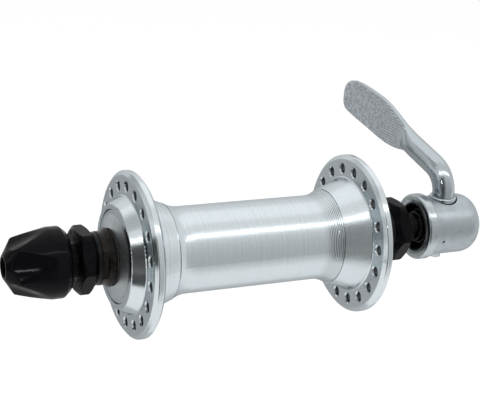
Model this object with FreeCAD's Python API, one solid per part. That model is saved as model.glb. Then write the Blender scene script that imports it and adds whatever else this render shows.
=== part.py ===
import FreeCAD, Part
import math
import os

# Bicycle front hub with a quick-release skewer, in millimetres.
# The axle lies along Y, with the cam lever on +Y and the adjusting nut on -Y.
# The origin is the middle of the hub, halfway between the locknut faces.
# Z runs up along the cam shaft, so the closed lever points along -X.

V = FreeCAD.Vector
ORIGIN = V(0, 0, 0)
AXLE_DIR = V(0, 1, 0)

# Clearances between pieces
RUNNING = 0.05          # journals in their bores
THREAD_GAP = 0.05       # between a thread's crest and its nut
RACE_GAP = 0.08         # between a ball and its races
SEAL_GAP = 0.3          # between the turning dust cap and the still seal
SPRING_REST = 0.05      # between a spring's end and its seat
CUT_CLEAR = 40.0        # reach of a cutter that runs clear of its piece

# Hollow axle
OVER_LOCKNUTS = 100.0   # width between the fork ends
AXLE_STUB = 4.0         # axle that stands out of each locknut
AXLE_D = 9.0
AXLE_BORE = 5.5
AXLE_CHAMFER = 0.5

# Hub shell
FLANGE_MID = 33.8       # middle of each flange from the hub's middle
FLANGE_THICK = 3.2
FLANGE_D = 46.0
RIM_BEVEL_R = 1.15      # the rim's bevel, across the face
RIM_BEVEL_Y = 0.9       # the rim's bevel, along the axle
SPOKE_CIRCLE_D = 38.0
SPOKE_HOLE_D = 2.6
SPOKE_HOLES = 18        # in each flange
SPOKE_SINK = 0.4        # countersink at each end of a spoke hole
RIGHT_PHASE = 147.4     # degrees from +X to the right flange's first hole
BARREL_D = 24.2
FLARE_START = 19.5      # where the barrel begins to flare
FLARE_END = 24.6
FLARE_END_D = 27.0
RELIEF_WIDE = 0.35      # turned groove between flare and shoulder
RELIEF_DEEP = 0.22
SHOULDER_END_D = 33.0   # shoulder where it meets the flange
BOSS_BASE_D = 32.6
BOSS_TALL = 3.5         # boss that stands out of each flange
BOSS_LIP_D = 28.6
SHELL_BORE_D = 16.8

# Bearings
BALL_D = 4.7625         # three sixteenths of an inch
BALLS = 10              # a side
BALL_CIRCLE_D = 16.8
BALL_MID = 33.5         # plane of the ball centres
CONTACT = 45.0          # contact angle in degrees
CUP_D = 23.6
CUP_BACK = 4.3          # from the balls' plane to the cup's inboard face
CUP_HOLE_D = 15.2
CUP_FRONT = 1.9         # from the balls' plane to the cup's mouth
NOSE_BACK = 1.9         # from the balls' plane to the cone's nose
CONE_NOSE_D = 11.2
CONE_BODY_D = 14.8
CREST_OUT = 1.3         # from the dust cap's hole to the cone's crest
CONE_CREST_D = 16.1
CREST_SLOPE = 1.1       # from the crest to the wrench flats
NECK_LONG = 1.6         # length of the wrench flats
CONE_FLATS = 13.0       # across the wrench flats
SEAL_SEAT_D = 13.8
SEAL_LONG = 2.1
SEAL_OUT_BY = 0.4       # seal that stands out of the dust cap's hole
SEAL_D = 15.1

# Dust cap
CAP_D = 25.6
CAP_SHEET = 0.7
CAP_CUP_GAP = 0.3       # between the cap's skirt and the cup
CAP_SUNK = 0.2          # cap's rim below the boss's lip
CAP_CROWN = 1.2         # how far the cap's hole stands out of its rim
CAP_SEAT_GAP = 0.12     # groove round the cap at the shell's mouth

# Washers and locknuts
WASHER_D = 14.4
WASHER_THICK = 1.5
LOCKNUT_FLATS = 17.0    # across flats
LOCKNUT_D = 18.8        # over its chamfered corners
LOCKNUT_BASE_D = 14.7
LOCKNUT_SLOPE = 1.7
LOCKNUT_TIP_D = 16.4
LOCKNUT_TIP = 0.85
LOCKNUT_TEETH = 36

# Skewer
ROD_D = 5.0
ROD_END = -66.0
THREAD_PITCH = 0.8
SHAFT_Y = 64.8          # cam shaft, where the lever turns
CAM_THROW = 1.8         # pull on the rod between open and closed
CAM_D = 5.5
CAM_HIGH = 3.4          # half the length of the eccentric
EYE_GAP = 0.3           # room for the eccentric in the rod's eye
EYE_WALL = 1.6
EYE_HIGH = 4.0

# Springs
SPRING_WIRE = 0.7
SPRING_SMALL_D = 6.8
SPRING_LARGE_D = 11.9
RIGHT_TURNS = 3.5
LEFT_TURNS = 3.0
STEPS_A_TURN = 4

# Adjusting nut
NUT_FACE = -52.4
NUT_FACE_D = 16.6
NUT_BACK = -54.0        # where the chamfer ends and the skirt begins
NUT_SKIRT = -57.0       # where the skirt ends and the cone begins
NUT_SKIRT_D = 19.3
NUT_NOSE = -66.2
NUT_NOSE_D = 15.5
NUT_TIP = -69.1
NUT_TIP_D = 6.4
NUT_HOLE_D = 5.3
NUT_RECESS_D = 13.6
NUT_RECESS_FLOOR = -58.2
NUT_TEETH = 30
FLUTES = 5
FLUTE_R = 11.0
FLUTE_BITE = 2.0        # depth of a flute at the nose
FLUTE_RUNOUT = 1.3      # from the end of a flute to the skirt
FLUTE_FIRST = 21.0      # degrees
INSERT_D = 8.4
INSERT_FLANGE = 0.8
INSERT_END = -66.3

# Cam housing
HOUSE_FACE = 55.5
HOUSE_D = 17.8
HOUSE_START = 58.7
HOUSE_END = 75.9
HOUSE_CORNER = 5.2
HOUSE_CAVITY_D = 12.6
HOUSE_CAVITY_END = 71.2
MOUTH_D = 15.2
MOUTH_DEEP = 1.8        # depth of the seat for the face ring's spigot
RING_D = 19.7
RING_RECESS_D = 13.3
RING_FLOOR = 60.0
RING_HOLE_D = 11.0
RING_TEETH = 72         # fine teeth round the recess, inside the ring's smooth rim
RING_TEETH_D = 15.6
COLLAR_POCKET_D = 8.7
COLLAR_POCKET_Z = 7.3
PIT_D = 0.9
PIT_AT = (61.3, -13.0)  # place along Y, and angle round the axle in degrees

# Cam lever
COLLAR_D = 8.1
COLLAR_TOP = 9.25
JOURNAL_D = 7.4
JOURNAL_FOOT = 3.6
PIN_D = 3.4
PIN_END = -10.3
STEM_D = 6.6
STEM_TOP = 9.4
BEND_R = 8.0
ARM_RISE = 15.7         # degrees that the arm climbs from level
ARM_LEAN = 8.0          # degrees that the closed arm leans to the hub
ARM_LONG = 12.6         # straight round arm, from the bend to the paddle
SPINE_LONG = 15.0       # taper of the arm into the paddle's back
SPINE_TIP_D = 1.6
FLAT_START = 0.3        # where the arm's inner side starts to be cut flat
FLAT_RAMP = 2.5
PADDLE_THICK = 2.0
PADDLE_PROUD = 0.05     # paddle's face over the flat cut in the arm
PADDLE_BACK_ROUND = 0.9
PADDLE_FRONT_EASE = 0.3
# Corners of the paddle's outline from the end of the round arm: reach, height and rounding
PADDLE_CORNERS = (
    (0.4, 1.1, 2.0), (8.9, 8.4, 20.0), (22.0, 11.2, 40.0), (34.3, 12.0, 7.2),
    (34.3, 1.6, 3.0), (9.8, -3.7, 20.0), (0.4, -3.65, 3.0))
TOOTH_ANGLE = 90.0      # of the serrations that grip the fork ends
TOOTH_DEEP = 0.25

# Sizes that follow from those above
HALF_OVER = OVER_LOCKNUTS / 2
AXLE_END = HALF_OVER + AXLE_STUB
FLANGE_IN = FLANGE_MID - FLANGE_THICK / 2
FLANGE_OUT = FLANGE_MID + FLANGE_THICK / 2
MOUTH_Y = FLANGE_OUT + BOSS_TALL
BALL_R = BALL_D / 2
RACE_R = BALL_R + RACE_GAP
BALL_CIRCLE_R = BALL_CIRCLE_D / 2
SPOKE_PITCH = 360.0 / SPOKE_HOLES
CAM_OFFSET = CAM_THROW / 2
CAP_RIM = MOUTH_Y - CAP_SUNK
CUP_FLOOR = BALL_MID - CUP_BACK
CUP_MOUTH = BALL_MID + CUP_FRONT
CONE_NOSE = BALL_MID - NOSE_BACK
CAP_HOLE = CAP_RIM + CAP_CROWN
SEAL_OUT = CAP_HOLE + SEAL_OUT_BY
SEAL_IN = SEAL_OUT - SEAL_LONG
CONE_CREST = CAP_HOLE + CREST_OUT
CONE_FLATS_AT = CONE_CREST + CREST_SLOPE
CONE_END = CONE_FLATS_AT + NECK_LONG
LOCKNUT_IN = CONE_END + WASHER_THICK


def corner_arc(before, corner, after, radius):
    """The arc that rounds a corner: its start, middle and end."""
    to_before = (before - corner).normalize()
    to_after = (after - corner).normalize()
    half = to_before.getAngle(to_after) / 2
    run = radius / math.tan(half)
    middle_dir = (to_before + to_after).normalize()
    centre = corner + middle_dir * (radius / math.sin(half))
    return corner + to_before * run, centre - middle_dir * radius, corner + to_after * run


def outline(points, place):
    """A closed wire through (a, b, corner radius) points, placed by place(a, b)."""
    corners = [place(point[0], point[1]) for point in points]
    radii = [point[2] if len(point) > 2 else 0 for point in points]
    count = len(corners)
    stops = []
    for i, corner in enumerate(corners):
        if radii[i]:
            stops.append(corner_arc(corners[i - 1], corner, corners[(i + 1) % count], radii[i]))
        else:
            stops.append((corner, None, corner))
    edges = []
    for i, (start, middle, end) in enumerate(stops):
        if middle is not None:
            edges.append(Part.Arc(start, middle, end).toShape())
        following = stops[(i + 1) % count][0]
        if (following - end).Length > 1e-6:
            edges.append(Part.LineSegment(end, following).toShape())
    return Part.Wire(edges)


def turned(points):
    """A solid turned about the axle, from a profile of (y, radius, corner radius) points."""
    wire = outline(points, lambda y, r: V(r, y, 0))
    return Part.Face(wire).revolve(ORIGIN, AXLE_DIR, 360)


def rod(diameter, y0, y1):
    """A cylinder along the axle."""
    return Part.makeCylinder(diameter / 2, y1 - y0, V(0, y0, 0), AXLE_DIR)


def upright(diameter, z0, z1, y):
    """A cylinder along Z, over the axle."""
    return Part.makeCylinder(diameter / 2, z1 - z0, V(0, y, z0), V(0, 0, 1))


def turned_by(shape, degrees):
    """A copy of a shape turned about the axle, from +X towards +Z."""
    copy = shape.copy()
    copy.rotate(ORIGIN, AXLE_DIR, -degrees)
    return copy


def left_of(shape):
    """The same piece on the nut side."""
    return shape.mirror(ORIGIN, AXLE_DIR)


def serrated(body, face_y, outward, inner_d, outer_d, teeth):
    """Cuts radial V grooves into a flat face that grips a fork end."""
    half_wide = TOOTH_DEEP * math.tan(math.radians(TOOTH_ANGLE / 2))
    start = inner_d / 2 - 0.5
    length = (outer_d - inner_d) / 2 + 1.0
    groove = Part.Face(Part.makePolygon([
        V(start, face_y + outward * 0.01, -half_wide),
        V(start, face_y + outward * 0.01, half_wide),
        V(start, face_y - outward * TOOTH_DEEP, 0),
        V(start, face_y + outward * 0.01, -half_wide)])).extrude(V(length, 0, 0))
    grooves = [turned_by(groove, 360.0 * i / teeth) for i in range(teeth)]
    return body.cut(Part.makeCompound(grooves))


def hub_shell():
    """Turned shell: barrel, flares, shoulders, flanges and the bearing bosses."""
    flare_rise = (FLARE_END_D - BARREL_D) / 2
    flare_run = FLARE_END - FLARE_START
    flare_r = (flare_run ** 2 + flare_rise ** 2) / (2 * flare_rise)
    flare_turn = math.asin(flare_run / flare_r)
    flare_corner = FLARE_START + flare_r * math.tan(flare_turn / 2)
    half = [
        (flare_corner, BARREL_D / 2, flare_r * 0.999),
        (FLARE_END, FLARE_END_D / 2),
        (FLARE_END, FLARE_END_D / 2 - RELIEF_DEEP),
        (FLARE_END + RELIEF_WIDE, FLARE_END_D / 2 - RELIEF_DEEP),
        (FLARE_END + RELIEF_WIDE, FLARE_END_D / 2 + 0.1),
        (FLANGE_IN, SHOULDER_END_D / 2, 0.6),
        (FLANGE_IN, FLANGE_D / 2 - RIM_BEVEL_R, 0.3),
        (FLANGE_IN + RIM_BEVEL_Y, FLANGE_D / 2, 0.4),
        (FLANGE_OUT - RIM_BEVEL_Y, FLANGE_D / 2, 0.4),
        (FLANGE_OUT, FLANGE_D / 2 - RIM_BEVEL_R, 0.3),
        (FLANGE_OUT, BOSS_BASE_D / 2, 0.6),
        (MOUTH_Y, BOSS_LIP_D / 2, 0.45),
        (MOUTH_Y, CAP_D / 2 + CAP_SEAT_GAP),
        (MOUTH_Y - 1.0, CAP_D / 2 + CAP_SEAT_GAP),
        (MOUTH_Y - 1.0, CAP_D / 2),
        (CUP_MOUTH + CAP_CUP_GAP - 0.2, CAP_D / 2),
        (CUP_MOUTH + CAP_CUP_GAP - 0.2, CUP_D / 2),
        (CUP_FLOOR, CUP_D / 2),
        (CUP_FLOOR, SHELL_BORE_D / 2),
    ]
    profile = half + [(-point[0],) + point[1:] for point in reversed(half)]
    return turned(profile).cut(Part.makeCompound(spoke_drills()))


def spoke_drills():
    """Drills and countersinks for the spoke holes; the left ones lie half a pitch on."""
    sink_d = SPOKE_HOLE_D + 2 * SPOKE_SINK
    drills = []
    for side, phase in ((1, RIGHT_PHASE), (-1, RIGHT_PHASE + SPOKE_PITCH / 2)):
        drill = turned([
            (FLANGE_IN - 0.1, 0),
            (FLANGE_IN - 0.1, sink_d / 2 + 0.1),
            (FLANGE_IN + SPOKE_SINK, SPOKE_HOLE_D / 2),
            (FLANGE_OUT - SPOKE_SINK, SPOKE_HOLE_D / 2),
            (FLANGE_OUT + 0.1, sink_d / 2 + 0.1),
            (FLANGE_OUT + 0.1, 0)])
        drill.translate(V(SPOKE_CIRCLE_D / 2, 0, 0))
        if side < 0:
            drill = left_of(drill)
        drills += [turned_by(drill, phase + SPOKE_PITCH * i) for i in range(SPOKE_HOLES)]
    return drills


def race_point(degrees):
    """A point of the ball race, at an angle from +Y (outboard) towards larger radius."""
    angle = math.radians(degrees)
    return V(BALL_CIRCLE_R + RACE_R * math.sin(angle), BALL_MID + RACE_R * math.cos(angle), 0)


def raced(before, start, end, after):
    """A turned solid whose profile runs along the ball race from start to end degrees."""
    points = [V(r, y, 0) for y, r in before]
    arc_start, arc_end = race_point(start), race_point(end)
    tail = [V(r, y, 0) for y, r in after]
    edges = []
    chain = points + [arc_start]
    for a, b in zip(chain, chain[1:]):
        edges.append(Part.LineSegment(a, b).toShape())
    edges.append(Part.Arc(arc_start, race_point((start + end) / 2), arc_end).toShape())
    chain = [arc_end] + tail + [points[0]]
    for a, b in zip(chain, chain[1:]):
        edges.append(Part.LineSegment(a, b).toShape())
    return Part.Face(Part.Wire(edges)).revolve(ORIGIN, AXLE_DIR, 360)


def bearing_cup():
    """Pressed steel cup, whose race faces outboard."""
    race_top = BALL_CIRCLE_R + RACE_R
    return raced(
        [(CUP_FLOOR, CUP_HOLE_D / 2), (CUP_FLOOR, CUP_D / 2), (CUP_MOUTH, CUP_D / 2),
         (CUP_MOUTH, race_top)],
        90, 180,
        [(BALL_MID - RACE_R, CUP_HOLE_D / 2)])


def bearing_cone():
    """Threaded steel cone: race, seal groove, crest and wrench flats."""
    race_end = -math.degrees(math.asin((BALL_CIRCLE_R - CONE_BODY_D / 2) / RACE_R))
    y_race_end = race_point(race_end).y
    cone = raced(
        [(CONE_END, AXLE_D / 2), (CONE_NOSE, AXLE_D / 2), (CONE_NOSE, CONE_NOSE_D / 2)],
        -90, race_end,
        [(SEAL_IN, CONE_BODY_D / 2), (SEAL_IN, SEAL_SEAT_D / 2), (SEAL_OUT, SEAL_SEAT_D / 2),
         (SEAL_OUT, SEAL_D / 2), (CONE_CREST - 0.3, CONE_CREST_D / 2),
         (CONE_CREST, CONE_CREST_D / 2), (CONE_FLATS_AT, CONE_BODY_D / 2 - 0.1),
         (CONE_END, CONE_BODY_D / 2 - 0.1)])
    flat_long = CONE_END - CONE_FLATS_AT + 0.1
    for side in (1, -1):
        cutter = Part.makeBox(5, flat_long, 20, V(0, CONE_FLATS_AT, -10))
        cutter.translate(V(CONE_FLATS / 2 if side > 0 else -CONE_FLATS / 2 - 5, 0, 0))
        cone = cone.cut(cutter)
    return cone


def bearing_balls():
    """The loose balls of one side."""
    ball = Part.makeSphere(BALL_R, V(BALL_CIRCLE_R, BALL_MID, 0))
    return Part.makeCompound([turned_by(ball, 360.0 * i / BALLS) for i in range(BALLS)])


def cone_seal():
    """Rubber ring on the cone, inside the dust cap's hole."""
    return turned([
        (SEAL_IN, SEAL_SEAT_D / 2), (SEAL_IN, SEAL_D / 2 - 0.25), (SEAL_IN + 0.5, SEAL_D / 2),
        (SEAL_OUT - 0.3, SEAL_D / 2, 0.15), (SEAL_OUT, SEAL_D / 2 - 0.3),
        (SEAL_OUT, SEAL_SEAT_D / 2)])


def dust_cap():
    """Pressed sheet cap: a skirt in the shell's mouth and a crowned face."""
    hole = SEAL_D / 2 + SEAL_GAP
    outer = CAP_D / 2
    inner = outer - CAP_SHEET
    skirt_end = CUP_MOUTH + CAP_CUP_GAP
    return turned([
        (skirt_end, outer), (CAP_RIM, outer, 0.45), (CAP_RIM + 0.05, outer - 1.2, 0.4),
        (CAP_HOLE, hole), (CAP_HOLE - CAP_SHEET, hole),
        (CAP_RIM + 0.05 - CAP_SHEET, outer - 1.5), (CAP_RIM - CAP_SHEET, inner, 0.2),
        (skirt_end, inner)])


def lock_washer():
    """Plain spacer between cone and locknut."""
    edge = 0.2
    return turned([
        (CONE_END, AXLE_D / 2), (CONE_END, WASHER_D / 2 - edge), (CONE_END + edge, WASHER_D / 2),
        (LOCKNUT_IN - edge, WASHER_D / 2), (LOCKNUT_IN, WASHER_D / 2 - edge),
        (LOCKNUT_IN, AXLE_D / 2)])


def locknut():
    """Hexagonal locknut with chamfered corners and a serrated outer face."""
    blank = turned([
        (LOCKNUT_IN, AXLE_D / 2), (LOCKNUT_IN, LOCKNUT_BASE_D / 2),
        (LOCKNUT_IN + LOCKNUT_SLOPE, LOCKNUT_D / 2, 0.3),
        (HALF_OVER - LOCKNUT_TIP, LOCKNUT_D / 2, 0.3),
        (HALF_OVER, LOCKNUT_TIP_D / 2), (HALF_OVER, AXLE_D / 2)])
    corner = LOCKNUT_FLATS / math.sqrt(3)
    corners = [V(corner * math.cos(math.radians(60 * i)), LOCKNUT_IN - 1,
                 corner * math.sin(math.radians(60 * i))) for i in range(7)]
    prism = Part.Face(Part.makePolygon(corners)).extrude(V(0, HALF_OVER - LOCKNUT_IN + 2, 0))
    nut = blank.common(prism)
    return serrated(nut, HALF_OVER, 1, AXLE_D + 2.4, LOCKNUT_TIP_D, LOCKNUT_TEETH)


def hollow_axle():
    """Threaded tube through both cones and locknuts."""
    bore, outer = AXLE_BORE / 2, AXLE_D / 2
    return turned([
        (-AXLE_END, bore), (-AXLE_END, outer - AXLE_CHAMFER), (AXLE_CHAMFER - AXLE_END, outer),
        (AXLE_END - AXLE_CHAMFER, outer), (AXLE_END, outer - AXLE_CHAMFER), (AXLE_END, bore)])


def slot_prism(radius, high, y):
    """An upright prism whose outline is a circle drawn out along X by the cam's offset."""
    e = CAM_OFFSET
    a, b, c, d = (V(e, y - radius, 0), V(e, y + radius, 0), V(-e, y + radius, 0),
                  V(-e, y - radius, 0))
    wire = Part.Wire([
        Part.Arc(a, V(e + radius, y, 0), b).toShape(), Part.LineSegment(b, c).toShape(),
        Part.Arc(c, V(-e - radius, y, 0), d).toShape(), Part.LineSegment(d, a).toShape()])
    prism = Part.Face(wire).extrude(V(0, 0, high))
    prism.translate(V(0, 0, -high / 2))
    return prism


def skewer_rod():
    """Long rod with a threaded end and a flat eye round the eccentric."""
    eye_y = SHAFT_Y + CAM_OFFSET
    slot_r = CAM_D / 2 + EYE_GAP
    chamfer = 0.5
    neck_end = eye_y - slot_r - 0.4
    shank = turned([
        (ROD_END, 0), (ROD_END, ROD_D / 2 - chamfer), (ROD_END + chamfer, ROD_D / 2),
        (neck_end, ROD_D / 2), (neck_end, 0)])
    eye = slot_prism(slot_r + EYE_WALL, EYE_HIGH, eye_y)
    return shank.fuse(eye).cut(slot_prism(slot_r, EYE_HIGH + 2, eye_y)).removeSplitter()


def biarc(p0, t0, p1, t1):
    """Two tangent arcs from p0 along t0 to p1 along t1."""
    v, t = p1 - p0, t0 + t1
    spread = 2 * (1 - t0.dot(t1))
    reach = (-v.dot(t) + math.sqrt(v.dot(t) ** 2 + spread * v.dot(v))) / spread
    join = (p0 + t0 * reach + p1 - t1 * reach) * 0.5
    arcs = []
    for start, apex, end in ((p0, p0 + t0 * reach, join), (join, p1 - t1 * reach, p1)):
        chord_mid = (start + end) * 0.5
        half_turn = (apex - start).getAngle(end - start)
        share = math.tan(half_turn / 2) / math.tan(half_turn)
        arcs.append(Part.Arc(start, chord_mid + (apex - chord_mid) * share, end).toShape())
    return arcs


def conical_spring(y_small, y_large, turns):
    """Conical spring, narrow at the axle's end, from one seat to the other."""
    towards = 1 if y_large > y_small else -1
    inset = SPRING_WIRE / 2 + SPRING_REST
    y0, y1 = y_small + towards * inset, y_large - towards * inset
    r0, r1 = SPRING_SMALL_D / 2, SPRING_LARGE_D / 2
    whole = 2 * math.pi * turns

    def at(angle):
        share = angle / whole
        r = r0 + (r1 - r0) * share
        return V(r * math.cos(angle), y0 + (y1 - y0) * share, r * math.sin(angle))

    def along(angle):
        r = r0 + (r1 - r0) * angle / whole
        grow, climb = (r1 - r0) / whole, (y1 - y0) / whole
        return V(grow * math.cos(angle) - r * math.sin(angle), climb,
                 grow * math.sin(angle) + r * math.cos(angle)).normalize()

    edges = []
    steps = round(turns * STEPS_A_TURN)
    for i in range(steps):
        a, b = whole * i / steps, whole * (i + 1) / steps
        edges += biarc(at(a), along(a), at(b), along(b))
    wire_end = Part.Wire([Part.Circle(at(0), along(0), SPRING_WIRE / 2).toShape()])
    coil = Part.Wire(edges).makePipeShell([wire_end], True, False)
    least = min((at(a) - at(b)).Length for a in (whole * k / 120 for k in range(121))
                for b in (whole * k / 120 for k in range(121)) if b - a > math.pi)
    print("spring: %.1f turns, least gap %.2f" % (turns, least - SPRING_WIRE))
    return coil


def adjusting_nut():
    """Moulded nut: skirt, fluted cone, nose and the recess for its spring."""
    body = turned([
        (NUT_FACE, NUT_RECESS_D / 2), (NUT_FACE, NUT_FACE_D / 2, 0.15),
        (NUT_BACK, NUT_SKIRT_D / 2, 0.5), (NUT_SKIRT, NUT_SKIRT_D / 2, 2.0),
        (NUT_NOSE, NUT_NOSE_D / 2, 0.5), (NUT_TIP, NUT_TIP_D / 2, 0.4),
        (NUT_TIP, NUT_HOLE_D / 2 + 0.2), (NUT_TIP + 0.2, NUT_HOLE_D / 2),
        (INSERT_END, NUT_HOLE_D / 2), (INSERT_END, INSERT_D / 2),
        (NUT_RECESS_FLOOR, INSERT_D / 2), (NUT_RECESS_FLOOR, NUT_RECESS_D / 2)])
    runout = NUT_SKIRT - FLUTE_RUNOUT
    low = V(NUT_NOSE_D / 2 - FLUTE_BITE, NUT_NOSE, 0)
    high = V(NUT_SKIRT_D / 2, runout, 0)
    along = (high - low).normalize()
    across = V(along.y, -along.x, 0)
    cutter = Part.makeCylinder(
        FLUTE_R, CUT_CLEAR, low + across * FLUTE_R - along * CUT_CLEAR / 2, along)
    edge_tool = [turned_by(cutter, FLUTE_FIRST + 360.0 * i / FLUTES) for i in range(FLUTES)]
    body = body.cut(Part.makeCompound(edge_tool))
    return serrated(body, NUT_FACE, 1, NUT_RECESS_D, NUT_FACE_D, NUT_TEETH)


def nut_insert():
    """Steel core of the adjusting nut, with its thread and the spring's seat."""
    bore = ROD_D / 2 + THREAD_GAP
    return turned([
        (INSERT_END, bore), (INSERT_END, INSERT_D / 2), (NUT_RECESS_FLOOR, INSERT_D / 2),
        (NUT_RECESS_FLOOR, NUT_RECESS_D / 2), (NUT_RECESS_FLOOR + INSERT_FLANGE, NUT_RECESS_D / 2),
        (NUT_RECESS_FLOOR + INSERT_FLANGE, bore)])


def cam_housing():
    """Cast housing with a crowned end, the cam's cross bore and the rod's cavity."""
    mouth_end = HOUSE_START + MOUTH_DEEP
    body = turned([
        (HOUSE_START, MOUTH_D / 2), (HOUSE_START, HOUSE_D / 2, 0.25),
        (HOUSE_END - 0.7, HOUSE_D / 2, HOUSE_CORNER), (HOUSE_END, 2.4, 10), (HOUSE_END, 0),
        (HOUSE_CAVITY_END, 0), (HOUSE_CAVITY_END, HOUSE_CAVITY_D / 2, 1.0),
        (mouth_end, HOUSE_CAVITY_D / 2), (mouth_end, MOUTH_D / 2)])
    reach = HOUSE_D / 2 + 2
    bores = [
        upright(COLLAR_POCKET_D, COLLAR_POCKET_Z, reach, SHAFT_Y),
        upright(JOURNAL_D + 2 * RUNNING, 0, reach, SHAFT_Y),
        upright(PIN_D + 2 * RUNNING, -reach, 0, SHAFT_Y)]
    pit_y, pit_angle = PIT_AT
    pit = Part.makeCylinder(PIT_D / 2, 1.0, V(HOUSE_D / 2 - 0.5, pit_y, 0), V(1, 0, 0))
    return body.cut(Part.makeCompound(bores)).cut(turned_by(pit, pit_angle))


def cam_face_ring():
    """Steel ring pressed into the housing: gripping face, spring recess and floor."""
    spigot_end = HOUSE_START + MOUTH_DEEP
    ring = turned([
        (HOUSE_FACE, RING_RECESS_D / 2), (HOUSE_FACE, RING_D / 2, 0.8),
        (HOUSE_START, RING_D / 2, 0.5),
        (HOUSE_START, MOUTH_D / 2), (spigot_end, MOUTH_D / 2), (spigot_end, RING_HOLE_D / 2),
        (RING_FLOOR, RING_HOLE_D / 2), (RING_FLOOR, RING_RECESS_D / 2)])
    return serrated(ring, HOUSE_FACE, -1, RING_RECESS_D, RING_TEETH_D, RING_TEETH)


def cam_shaft():
    """Pin, eccentric, journal and collar, about Z, with the arm along X."""
    lean = math.radians(ARM_LEAN)
    offset = V(-CAM_OFFSET * math.sin(lean), -CAM_OFFSET * math.cos(lean), -CAM_HIGH)
    collar = upright(COLLAR_D, COLLAR_POCKET_Z + RUNNING, COLLAR_TOP, 0)
    rims = [edge for edge in collar.Edges if edge.BoundBox.ZMin > COLLAR_TOP - 0.01]
    return upright(PIN_D, PIN_END, 0, 0).fuse([
        Part.makeCylinder(CAM_D / 2, 2 * CAM_HIGH, offset),
        upright(JOURNAL_D, CAM_HIGH, COLLAR_TOP - 1.0, 0),
        collar.makeFillet(0.35, rims)])


def lever_arm():
    """Cam shaft, stem, bend and arm, tapered behind the paddle and cut flat inside."""
    radius = STEM_D / 2
    turn = 90.0 - ARM_RISE
    heading = V(math.cos(math.radians(ARM_RISE)), 0, math.sin(math.radians(ARM_RISE)))
    swing = math.radians(turn)
    bend_end = V(BEND_R * (1 - math.cos(swing)), 0, STEM_TOP + BEND_R * math.sin(swing))
    arm_end = bend_end + heading * ARM_LONG
    stem = upright(STEM_D, COLLAR_TOP - 0.6, STEM_TOP, 0)
    ring = Part.Circle(V(0, 0, STEM_TOP), V(0, 0, 1), radius).toShape()
    bend = Part.Face(Part.Wire([ring])).revolve(V(BEND_R, 0, STEM_TOP), V(0, 1, 0), turn)
    arm = Part.makeCylinder(radius, ARM_LONG, bend_end, heading)
    spine = Part.makeCone(radius, SPINE_TIP_D / 2, SPINE_LONG, arm_end, heading)
    bar = cam_shaft().fuse(stem).fuse(bend).fuse(arm).fuse(spine)
    face_y = PADDLE_THICK / 2 - PADDLE_PROUD
    flat = Part.Face(Part.makePolygon([
        V(arm_end.x + FLAT_START, radius, 5), V(arm_end.x + FLAT_START + FLAT_RAMP, face_y, 5),
        V(arm_end.x + 60, face_y, 5), V(arm_end.x + 60, 20, 5),
        V(arm_end.x + FLAT_START, 20, 5), V(arm_end.x + FLAT_START, radius, 5)]))
    return bar.cut(flat.extrude(V(0, 0, CUT_CLEAR))), arm_end


def lever_paddle(root):
    """Flat forged paddle with eased edges."""
    back_y = -PADDLE_THICK / 2
    wire = outline(PADDLE_CORNERS, lambda x, z: V(root.x + x, back_y, root.z + z))
    plate = Part.Face(wire).extrude(V(0, PADDLE_THICK, 0))
    back = [edge for edge in plate.Edges if edge.BoundBox.YMax < 0]
    plate = plate.makeFillet(PADDLE_BACK_ROUND, back)
    front = [edge for edge in plate.Edges if edge.BoundBox.YMin > PADDLE_THICK / 2 - 0.01]
    return plate.makeChamfer(PADDLE_FRONT_EASE, front)


def cam_lever():
    """Forged lever: paddle, arm, stem, collar, journals and the eccentric between them."""
    arm, arm_end = lever_arm()
    lever = arm.fuse(lever_paddle(arm_end))
    lever.rotate(ORIGIN, V(0, 0, 1), 180 + ARM_LEAN)
    lever.translate(V(0, SHAFT_Y, 0))
    return lever


def main():
    os.makedirs("parts", exist_ok=True)
    right = {
        "bearing_cup": bearing_cup(), "bearing_balls": bearing_balls(),
        "bearing_cone": bearing_cone(), "cone_seal": cone_seal(), "dust_cap": dust_cap(),
        "lock_washer": lock_washer(), "locknut": locknut()}
    nodes = {"hub_shell": hub_shell(), "hollow_axle": hollow_axle()}
    for name, shape in right.items():
        nodes[name + "_right"] = shape
        nodes[name + "_left"] = left_of(shape)
    nodes["skewer_rod"] = skewer_rod()
    nodes["skewer_spring_right"] = conical_spring(AXLE_END, RING_FLOOR, RIGHT_TURNS)
    nodes["skewer_spring_left"] = conical_spring(
        -AXLE_END, NUT_RECESS_FLOOR + INSERT_FLANGE, LEFT_TURNS)
    nodes["adjusting_nut"] = adjusting_nut()
    nodes["nut_insert"] = nut_insert()
    nodes["cam_housing"] = cam_housing()
    nodes["cam_face_ring"] = cam_face_ring()
    nodes["cam_lever"] = cam_lever()
    for name, shape in nodes.items():
        if not shape.isValid():
            print("not valid:", name)
        shape.exportStep("parts/%s.step" % name)
        print("%-22s %3d solids %10.1f mm3" % (name, len(shape.Solids), shape.Volume))


if __name__ == "__main__":
    main()
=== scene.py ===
"""Bicycle front hub with a quick-release skewer: its dressed pieces and the studio round it."""

import logging
import math
from dataclasses import dataclass
from enum import Enum
from typing import Any, Mapping, Optional, Protocol, Sequence, Union

import bmesh
import bpy
from bpy.types import Material, Node, NodeSocket, Object
from mathutils import Matrix, Vector

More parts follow.
